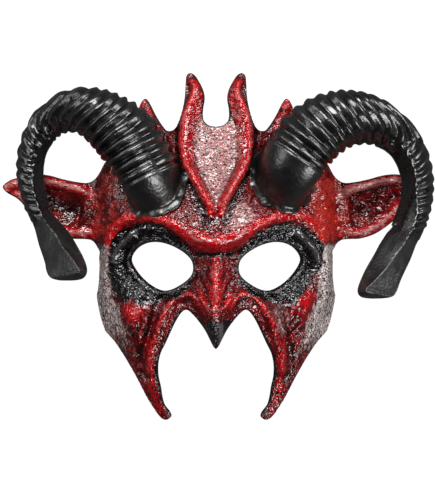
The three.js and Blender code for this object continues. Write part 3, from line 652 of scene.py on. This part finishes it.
# The finest grain: pebbles of 3 mm and 1.4 mm, less the net of creases, weaker where the varnish is calm.
height = 0.0
for size, part in ((3.0, 0.7), (1.4, 0.3)):
    pebbles = add_node(tree, "ShaderNodeTexNoise", {},
                       {"Vector": place, "Scale": 1 / (size * MM), "Detail": 0})["Fac"]
    height = add_node(tree, "ShaderNodeMath", {"operation": "MULTIPLY_ADD"},
                      {0: pebbles, 1: part, 2: height})[0]
height = add_node(tree, "ShaderNodeMath", {"operation": "MULTIPLY_ADD"}, {0: net, 1: -0.7, 2: height})[0]
smoothed = add_node(tree, "ShaderNodeAttribute", {"attribute_name": "calm"}, {})["Fac"]
smoothed = add_node(tree, "ShaderNodeMath", {"operation": "MULTIPLY_ADD"},
                    {0: mottle, 1: -5.0, 2: smoothed})[0]
strength = add_node(tree, "ShaderNodeMapRange", {"clamp": True},
                    {"Value": smoothed, "From Min": -3.5, "From Max": -1.0, "To Min": 1.6, "To Max": 0.1})[0]
bump = add_node(tree, "ShaderNodeBump", {},
                {"Strength": strength, "Distance": 1.3 * MM, "Height": height})["Normal"]
tree.links.new(bump, shader.inputs["Normal"])
rough = add_node(tree, "ShaderNodeMapRange", {"clamp": True},
                 {"Value": mottle, "From Min": 0.35, "From Max": 0.65, "To Min": 0.07, "To Max": 0.14})[0]
tree.links.new(rough, shader.inputs["Roughness"])
shader.inputs["Specular IOR Level"].default_value = 0.7

points, faces = closed_skin(front, inside, front_faces)
add_piece("mask_shell_skin", points, faces, paints, varnished_red, sharp=50)

# The horns
#
# Two curled ram horns, each a separate moulding of the same plastic, with ridges that follow the rings of a
# real horn and a smooth flat point. They are painted black under satin varnish and glued on to the forehead.

# RIDGE_PROUD, TIP_SKEW and FOOT_DEPTH are in mm, and the other sizes are shares of the horn's length or of
# its half width.
HORN_RINGS, HORN_SIDES = 880, 106
HORN_RIDGES = 20
HORN_BLADE = 0.8
RIDGE_DEPTH, RIDGE_PROUD, RIDGE_BOW = 0.15, 0.4, 1.1
HORN_FLAT, BLADE_THICKNESS = 0.16, 0.62
TIP_START, TIP_WIDTH, TIP_SKEW = 0.96, 0.66, 4
FOOT_DEPTH = 1.0
# How many mm the ridges run ahead on the outside of the curl, by the share of the way along the horn.
LEFT_LAG = [(0, -8), (0.1, -8), (0.17, 0), (0.24, 11), (0.31, 22), (0.37, 27), (0.44, 21), (0.52, 12),
            (0.6, 8), (0.7, 6), (0.8, 6), (1, 0)]
RIGHT_LAG = [(0, -10), (0.1, -10), (0.18, 0), (0.26, 13), (0.33, 24), (0.4, 29), (0.48, 23), (0.56, 14),
             (0.64, 9), (0.72, 7), (0.8, 6), (1, 0)]
# The horns' middle lines from foot to tip: x out from the middle of the face, y, z and half the width, in mm,
# and the point that each one curls round.
LEFT_HORN = [
    (34, 29, 30, 19), (37.5, 36, 44, 19.8), (45, 49.5, 54.5, 22), (55, 64.5, 56, 22.6),
    (68.5, 76.5, 47, 20.2), (83.5, 83.5, 32.5, 17), (98.5, 82.5, 19.5, 14.2), (110, 74, 12.6, 12.2),
    (116.3, 60.5, 15, 10.6), (117, 44.5, 22.5, 9.8), (113, 28.5, 28.5, 9.1), (107, 14.5, 34, 8.8),
    (99.4, 1, 41, 11.2), (94.2, -9.3, 48, 12.7), (89.8, -19.4, 54, 12.8),
]
RIGHT_HORN = [
    (40, 35, 30, 19.6), (43, 41, 44, 20.6), (49.5, 53, 54.5, 22.4), (58.5, 65, 56, 22.8),
    (73, 75, 47.5, 21.4), (90, 78.5, 32.5, 18.8), (107.5, 74.5, 18.5, 15.6), (120, 64, 13.3, 13),
    (126, 47.5, 21.5, 12), (126, 31.5, 28, 11.6), (121.5, 16.5, 32.5, 11.8), (115, 2.5, 37.5, 11.4),
    (108.5, -9.5, 43, 11.4), (102, -21, 49, 12), (97.2, -30.8, 54, 12.3),
]
LEFT_CURL_MIDDLE, RIGHT_CURL_MIDDLE = (87, 40, 30), (97, 32, 30)
# The share of the way that the plain cuff takes up, and how much broader than average the first ridges are.
LEFT_CUFF, RIGHT_CUFF = 0.1, 0.13
LEFT_SPREAD, RIGHT_SPREAD = 0.16, 0.4
# Where the smooth inner face meets the rest: the share of the way, and -1 inside the curl to 1 outside.
LEFT_EDGE = [(0, -1.3), (0.5, -1.3), (0.56, -0.9), (0.62, -0.7), (0.67, -0.5), (0.73, -0.2), (0.8, -0.12),
             (0.88, -0.33), (0.93, -0.45), (0.97, -0.65), (1, -0.85)]
RIGHT_EDGE = [(0, -1.3), (0.42, -1.3), (0.48, -0.9), (0.53, -0.6), (0.58, -0.35), (0.65, -0.2), (0.7, -0.1),
              (0.75, 0.2), (0.8, 0.3), (0.88, 0.06), (0.94, -0.2), (0.97, -0.42), (1, -0.75)]


def horn(points, centre, side, cuff, spread, lag, edge, seed):
    """A rounded section carried along a smooth line: at each share of the way and each angle round it, the
    line's point plus the radius times a turning direction that starts away from the middle of the curl.
    Ridges are a raised cosine of a phase that starts at the cuff, grows along the horn as it is seen from the
    front, runs ahead on the outside of the curl by the lag, and stops at the edge of the inner face. The
    first one is 1 + spread times as wide as on average, and the last 1 - spread times. The front of the blade
    is a tent with its top on that edge. Grain draws scores along the ridges and scrapes along the blade.
    Gives points, triangles and paints."""
    dense = curve(points, 60)
    lengths = np.concatenate([[0], np.cumsum(np.linalg.norm(np.diff(dense[:, :3], axis=0), axis=1))])
    length = lengths[-1]
    share = np.linspace(0, 1, HORN_RINGS)
    knot = np.interp(share * length, lengths, np.linspace(0, 1, len(dense)))
    middle = np.stack([np.interp(share * length, lengths, dense[:, k]) for k in range(3)], 1)
    tangent = np.gradient(middle, axis=0)
    tangent /= np.linalg.norm(tangent, axis=1, keepdims=True)
    outward = middle - np.array(centre, float)
    outward -= (outward * tangent).sum(1, keepdims=True) * tangent
    outward /= np.linalg.norm(outward, axis=1, keepdims=True)
    towards = np.cross(tangent, outward)
    half_width = through([(k / (len(points) - 1), p[3]) for k, p in enumerate(points)], knot)[:, None]

    share, turn = np.meshgrid(share, np.arange(HORN_SIDES) / HORN_SIDES, indexing="ij")
    angle = 2 * np.pi * turn
    across, towards_eye = np.cos(angle), np.sin(angle)
    far = share * length
    lag = through(lag, share) * np.maximum(0, (across + 0.4) / 1.4) ** 1.4
    waver = 0.7 * grain(turn * 5, far / 11, seed, 5) + 0.35 * grain(turn * 12, far / 5, seed + 1, 12)
    level = np.concatenate([[0], np.cumsum(np.hypot(*np.diff(middle[:, :2], axis=0).T))])
    heading = tangent[:, :2] / np.linalg.norm(tangent[:, :2], axis=1, keepdims=True)
    forward = RIDGE_BOW * half_width * (towards_eye * (towards[:, :2] * heading).sum(1)[:, None])
    across_level = np.interp((far + lag + waver) / length, share[:, 0], level) + forward
    first, last = np.interp([cuff, HORN_BLADE], share[:, 0], level)
    way = np.clip((across_level - first) / (last - first), 0, 1)
    ridge_far = np.interp(across_level, level, share[:, 0]) * length
    bend = 1 + spread
    phase = HORN_RIDGES * (bend - np.sqrt(bend**2 - 4 * spread * way)) / (2 * spread)
    edge = through(edge, share)
    torn = 2.5 * grain(turn * 14, far / 6, seed + 2, 14)
    ridged = (smooth(edge - 0.1, edge + 0.14, across) * smooth(-1, 3, ridge_far - cuff * length)
              * smooth(0.6, -0.6, far + torn - HORN_BLADE * length))
    groove = (0.5 + 0.5 * np.cos(2 * np.pi * phase)) ** 1.3
    uneven = 1 + 0.3 * grain(turn * 7, ridge_far / 5, seed + 3, 7)
    scored = (0.2 * grain(turn * 7, ridge_far / 1.6, seed + 4, 7)
              + 0.12 * grain(turn * 16, ridge_far / 0.9, seed + 5, 16)
              - 0.1 * smooth(-0.4, 0.6, across) * np.cos(6 * np.pi * phase))
    scored = scored * mix(0.4, 1, np.abs(towards_eye))
    lumps = (0.16 * grain(turn * 9, far / 9, seed + 6, 9)
             + 0.05 * grain(turn * 30, far / 2.4, seed + 7, 30))
    scraped = 0.38 * grain(turn * 18, far / 16, seed + 10, 18)
    blade = smooth(HORN_BLADE - 0.005, HORN_BLADE + 0.03, share)
    notch = smooth(-0.6, 0.6, far + torn - HORN_BLADE * length)
    notch = notch * (1 - smooth(0.01, 0.07, share - HORN_BLADE))

    end = np.sqrt(1 - np.clip((share - TIP_START) / (1 - TIP_START), 0, 1) ** 3)
    flat = 1 - HORN_FLAT * smooth(-0.2, -0.9, across) * (1 - blade)
    narrowed = mix(TIP_WIDTH, 1, end)
    radius = (half_width - RIDGE_PROUD) * flat * narrowed
    sunk = RIDGE_DEPTH * half_width * ridged * groove * uneven * mix(0.45, 1, np.abs(towards_eye))
    radius = radius - sunk
    radius = radius + (ridged * scored + mix(lumps, scraped, blade)) * end - 1.1 * notch
    seam = bell((across - edge) * half_width, 1.1) * (towards_eye > 0) * smooth(0.55, 0.65, share)
    radius = radius + 0.35 * seam * (1 - blade)
    tent = np.minimum((1 - across) / (1 - edge), (1 + across) / np.maximum(1 + edge, 0.1)) ** 0.9
    facet = np.sqrt(1 - np.minimum(edge**2, 1)) * (1 + across) / np.maximum(1 + edge, 0.1)
    facing = 0.75 * smooth(0.55, 0.68, share) * ((towards_eye > 0) & (across < edge))
    height = mix(towards_eye, facet, facing)
    height = mix(height, np.where(towards_eye > 0, tent, 0.85 * towards_eye), blade)
    thin = mix(1, BLADE_THICKNESS, smooth(HORN_BLADE, 0.93, share)) / narrowed
    thin = thin * mix(1, 0.82, smooth(0.985, 1, share))
    skin = (middle[:, None] + outward[:, None] * (radius * across)[..., None]
            + towards[:, None] * (radius * thin * height)[..., None]
            - tangent[:, None] * (TIP_SKEW * smooth(0.88, 1, share) * across)[..., None])

    # The foot is sunk a little into the forehead, with a rough collar of glue round it.
    near_foot = share < 0.35
    x, y = np.abs(skin[..., 0][near_foot]), skin[..., 1][near_foot]
    lifted = np.full(share.shape, 99.0)
    lifted[near_foot] = skin[..., 2][near_foot] - dome(x, y) - carving(x, y)
    blobs = (1 + 0.8 * grain(turn * 20, far / 3.5, seed + 8, 20)
             + 0.5 * grain(turn * 40, far / 1.8, seed + 9, 40))
    glue = 2.6 * blobs * bell(lifted - 1.5, 3.2)
    skin += (outward[:, None] * (glue * across)[..., None]
             + towards[:, None] * (glue * towards_eye)[..., None])
    x, y = np.abs(skin[..., 0][near_foot]), skin[..., 1][near_foot]
    surface = dome(x, y) + carving(x, y) - FOOT_DEPTH
    skin[..., 2][near_foot] = np.maximum(skin[..., 2][near_foot], surface)

    rings, sides = HORN_RINGS, HORN_SIDES
    a = (np.arange(rings - 1)[:, None] * sides + np.arange(sides)).ravel()
    b = (np.arange(rings - 1)[:, None] * sides + (np.arange(sides) + 1) % sides).ravel()
    faces = np.concatenate([np.stack([a, b, b + sides], 1), np.stack([a, b + sides, a + sides], 1)])
    hubs = np.stack([skin[0].mean(0), skin[-1].mean(0)])
    points = np.concatenate([skin.reshape(-1, 3), hubs]) * np.array([side, 1, 1])
    for ring, hub, step in ((0, rings * sides, 1), (rings - 1, rings * sides + 1, -1)):
        rim = ring * sides + np.arange(sides)
        faces = np.concatenate([faces, np.stack([np.full(sides, hub), np.roll(rim, -step), rim], 1)])
    faces = faces if side > 0 else faces[:, ::-1]
    # The varnish is duller on the cuff and on the blade.
    paints = {
        # Painted sheen on the ridges' crests and painted shade in their grooves.
        "painted_crest_sheen": ridged * (1 - groove) ** 2,
        "groove": ridged * smooth(0.5, 0.9, groove),
        "inner": smooth(edge + 0.05, edge - 0.1, across) * smooth(0.5, 0.6, share),
        "foot": bell(lifted - 1, 3),
        "worn": blade * smooth(edge - 0.02, edge + 0.05, across),
        "dull": smooth(3, -1, ridge_far - cuff * length) + 2 * blade,
    }
    return points, faces, {name: np.concatenate([amount.ravel(), [0, 0]]) for name, amount in paints.items()}


# Soft plastic painted black under satin varnish: nearly all the eye gets is the softboxes in the varnish,
# drawn out along the scored ridges, with a painted sheen on the ridges' crests and painted shade in their
# grooves, grey-green where the black has worn thin and a breath of red on the inner face.
varnished_black = bpy.data.materials.new("painted_black_plastic_varnished")
varnished_black.use_nodes = True
tree = varnished_black.node_tree
shader = tree.nodes["Principled BSDF"]
place = add_node(tree, "ShaderNodeTexCoord", {}, {})["Object"]
blotch, speck = (
    add_node(tree, "ShaderNodeTexNoise", {},
             {"Vector": place, "Scale": 1 / (size * MM), "Detail": 3})["Fac"]
    for size in (6, 1.6)
)
colour = linear("#060606")
for paint, breaks, part, low, high, tint in (
    ("painted_crest_sheen", blotch, 1.0, 1.1, 1.8, "#191a19"),
    ("groove", speck, 0.5, 0.6, 1.1, "#030303"),
    ("worn", blotch, 0.8, 1.0, 1.6, "#1e211e"),
    ("inner", speck, 1.6, 1.9, 2.3, "#300c0d"),
    ("foot", speck, 1.4, 1.2, 1.7, "#363e37"),
):
    amount = add_node(tree, "ShaderNodeAttribute", {"attribute_name": paint}, {})["Fac"]
    broken = add_node(tree, "ShaderNodeMath", {"operation": "MULTIPLY_ADD"},
                      {0: breaks, 1: part, 2: amount})[0]
    cover = add_node(tree, "ShaderNodeMapRange", {"clamp": True},
                     {"Value": broken, "From Min": low, "From Max": high})[0]
    colour = add_node(tree, "ShaderNodeMix", {"data_type": "RGBA"}, {0: cover, 6: colour, 7: linear(tint)})[2]
tree.links.new(colour, shader.inputs["Base Color"])
pebbles = add_node(tree, "ShaderNodeTexNoise", {},
                   {"Vector": place, "Scale": 1 / (1.8 * MM), "Detail": 0})["Fac"]
bump = add_node(tree, "ShaderNodeBump", {},
                {"Strength": 1.0, "Distance": 0.15 * MM, "Height": pebbles})["Normal"]
tree.links.new(bump, shader.inputs["Normal"])
rough = add_node(tree, "ShaderNodeMapRange", {"clamp": True},
                 {"Value": blotch, "From Min": 0.35, "From Max": 0.65, "To Min": 0.22, "To Max": 0.3})[0]
dull = add_node(tree, "ShaderNodeAttribute", {"attribute_name": "dull"}, {})["Fac"]
rough = add_node(tree, "ShaderNodeMath", {"operation": "MULTIPLY_ADD"}, {0: dull, 1: 0.06, 2: rough})[0]
tree.links.new(rough, shader.inputs["Roughness"])
shader.inputs["Specular IOR Level"].default_value = 0.95

for name, *shape in (
    ("left_horn_skin", LEFT_HORN, LEFT_CURL_MIDDLE, -1,
     LEFT_CUFF, LEFT_SPREAD, LEFT_LAG, LEFT_EDGE, 20),
    ("right_horn_skin", RIGHT_HORN, RIGHT_CURL_MIDDLE, 1,
     RIGHT_CUFF, RIGHT_SPREAD, RIGHT_LAG, RIGHT_EDGE, 40),
):
    skin, faces, paints = horn(*shape)
    add_piece(name, skin, faces, paints, varnished_black, sharp=60)

# The table
#
# A plain acrylic light table, only there for the mask to lie on. The camera alone sees it as white. To the
# mask it is a dark surface with a faint glow.

TABLE_GLOW = 0.03
TABLE_HALF_SIDE, TABLE_GAP = 3.0, 0.0001

glowing_white = bpy.data.materials.new("white_acrylic_light_table")
glowing_white.use_nodes = True
tree = glowing_white.node_tree
shader = tree.nodes["Principled BSDF"]
seen = add_node(tree, "ShaderNodeLightPath", {}, {})["Is Camera Ray"]
glow = add_node(tree, "ShaderNodeMath", {"operation": "MULTIPLY_ADD"},
                {0: seen, 1: 1 - TABLE_GLOW, 2: TABLE_GLOW})[0]
tree.links.new(glow, shader.inputs["Emission Strength"])
shader.inputs["Base Color"].default_value = linear("#343434")
shader.inputs["Roughness"].default_value = 0.9
shader.inputs["Emission Color"].default_value = linear("#ffffff")
table_mesh = bpy.data.meshes.new("table")
corners = [(x * TABLE_HALF_SIDE, y * TABLE_HALF_SIDE, 0) for x, y in ((-1, -1), (1, -1), (1, 1), (-1, 1))]
table_mesh.from_pydata(corners, [], [(0, 1, 2, 3)])
table_mesh.materials.append(glowing_white)
table = bpy.data.objects.new("table", table_mesh)
table.location.z = -TABLE_GAP
bpy.context.scene.collection.objects.link(table)

# Light and camera
#
# Five softboxes round the mask, a dim room that the camera alone sees as pale, and a camera 1.1 m above the
# table that looks straight down.


def softbox(name, azimuth, tilt, distance, size, power):
    """A rectangular area light that faces the mask, with its azimuth counted from +X and its tilt from
    straight up, in degrees, its distance and size in m and its power in W."""
    light = bpy.data.lights.new(name, "AREA")
    light.shape = "RECTANGLE"
    light.size, light.size_y = size
    light.energy = power
    lamp = bpy.data.objects.new(name, light)
    a, t = np.radians(azimuth), np.radians(tilt)
    lamp.location = (distance * np.sin(t) * np.cos(a), distance * np.sin(t) * np.sin(a), distance * np.cos(t))
    lamp.rotation_euler = (0, t, a)
    bpy.context.scene.collection.objects.link(lamp)


softbox("softbox_top", 105, 34, 1.3, (0.65, 0.65), 19)
softbox("softbox_left", 175, 54, 1.4, (0.5, 0.7), 3.5)
softbox("softbox_right", 32, 60, 1.4, (0.6, 0.8), 12)
softbox("softbox_low", 310, 58, 1.4, (0.5, 0.5), 8)
softbox("softbox_behind", 133, 74, 1.5, (0.6, 0.8), 4)

ROOM_LIGHT, ROOM_SEEN = 0.05, 0.95
world = bpy.data.worlds.new("pale_room")
world.use_nodes = True
tree = world.node_tree
seen = add_node(tree, "ShaderNodeLightPath", {}, {})["Is Camera Ray"]
glow = add_node(tree, "ShaderNodeMath", {"operation": "MULTIPLY_ADD"},
                {0: seen, 1: ROOM_SEEN - ROOM_LIGHT, 2: ROOM_LIGHT})[0]
tree.links.new(glow, tree.nodes["Background"].inputs["Strength"])
tree.nodes["Background"].inputs["Color"].default_value = (1, 1, 1, 1)
bpy.context.scene.world = world
bpy.context.scene.view_settings.view_transform = "Standard"

CAMERA_HEIGHT = 1.1
FRAME_WIDTH, FRAME_HEIGHT = 435, 495
FOCAL_PIXELS = 1702
MIDDLE_PIXEL = (216, 246)
lens = bpy.data.cameras.new("camera")
# The sensor's width lies along the frame's longer side, which is its height.
lens.sensor_width = 36
lens.lens = FOCAL_PIXELS / FRAME_HEIGHT * lens.sensor_width
camera = bpy.data.objects.new("camera", lens)
pixel = CAMERA_HEIGHT / FOCAL_PIXELS
camera.location = ((FRAME_WIDTH / 2 - MIDDLE_PIXEL[0]) * pixel, (MIDDLE_PIXEL[1] - FRAME_HEIGHT / 2) * pixel,
                   CAMERA_HEIGHT)
bpy.context.scene.collection.objects.link(camera)
bpy.context.scene.camera = camera
